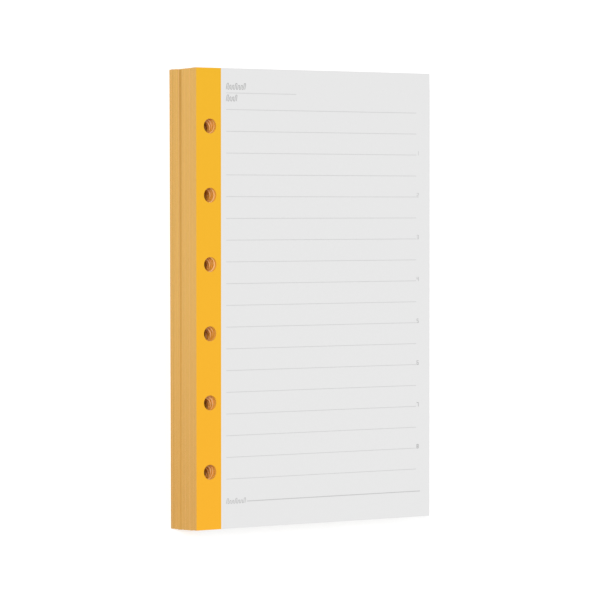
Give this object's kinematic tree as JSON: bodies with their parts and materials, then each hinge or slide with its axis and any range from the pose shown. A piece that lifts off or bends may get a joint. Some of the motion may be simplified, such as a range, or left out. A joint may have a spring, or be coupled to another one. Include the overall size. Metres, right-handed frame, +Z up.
{
  "type": "planner refill paper",
  "caption": "Stack of loose ruled refill sheets in two packs, with a yellow margin and evenly spaced ring holes along one long edge.",
  "frame": {"origin": "centre of the underside, on the surface that the stack lies on", "axes": "+Z up, out of the front sheet; +Y to the head of the page; +X away from the punched edge"},
  "size_m": [0.1084, 0.1698, 0.0169],
  "materials": {
    "page_paper": "matt uncoated white writing paper",
    "spine_edges": "matt cut paper edges, tinted by the printed margins",
    "margin_print": "matt yellow print on paper",
    "line_print": "matt pale grey print on paper",
    "rule_print": "matt mid grey print on paper",
    "label_print": "matt mid grey print on paper"
  },
  "bodies": {
    "root": {"front_pack": "page_paper", "rear_pack": "page_paper", "front_spine_tint": "spine_edges", "rear_spine_tint": "spine_edges", "margin_field": "margin_print", "writing_lines": "line_print", "heading_rule": "rule_print", "foot_rule": "rule_print", "label_marks": "label_print", "line_numbers": "label_print"}
  },
  "joints": []
}
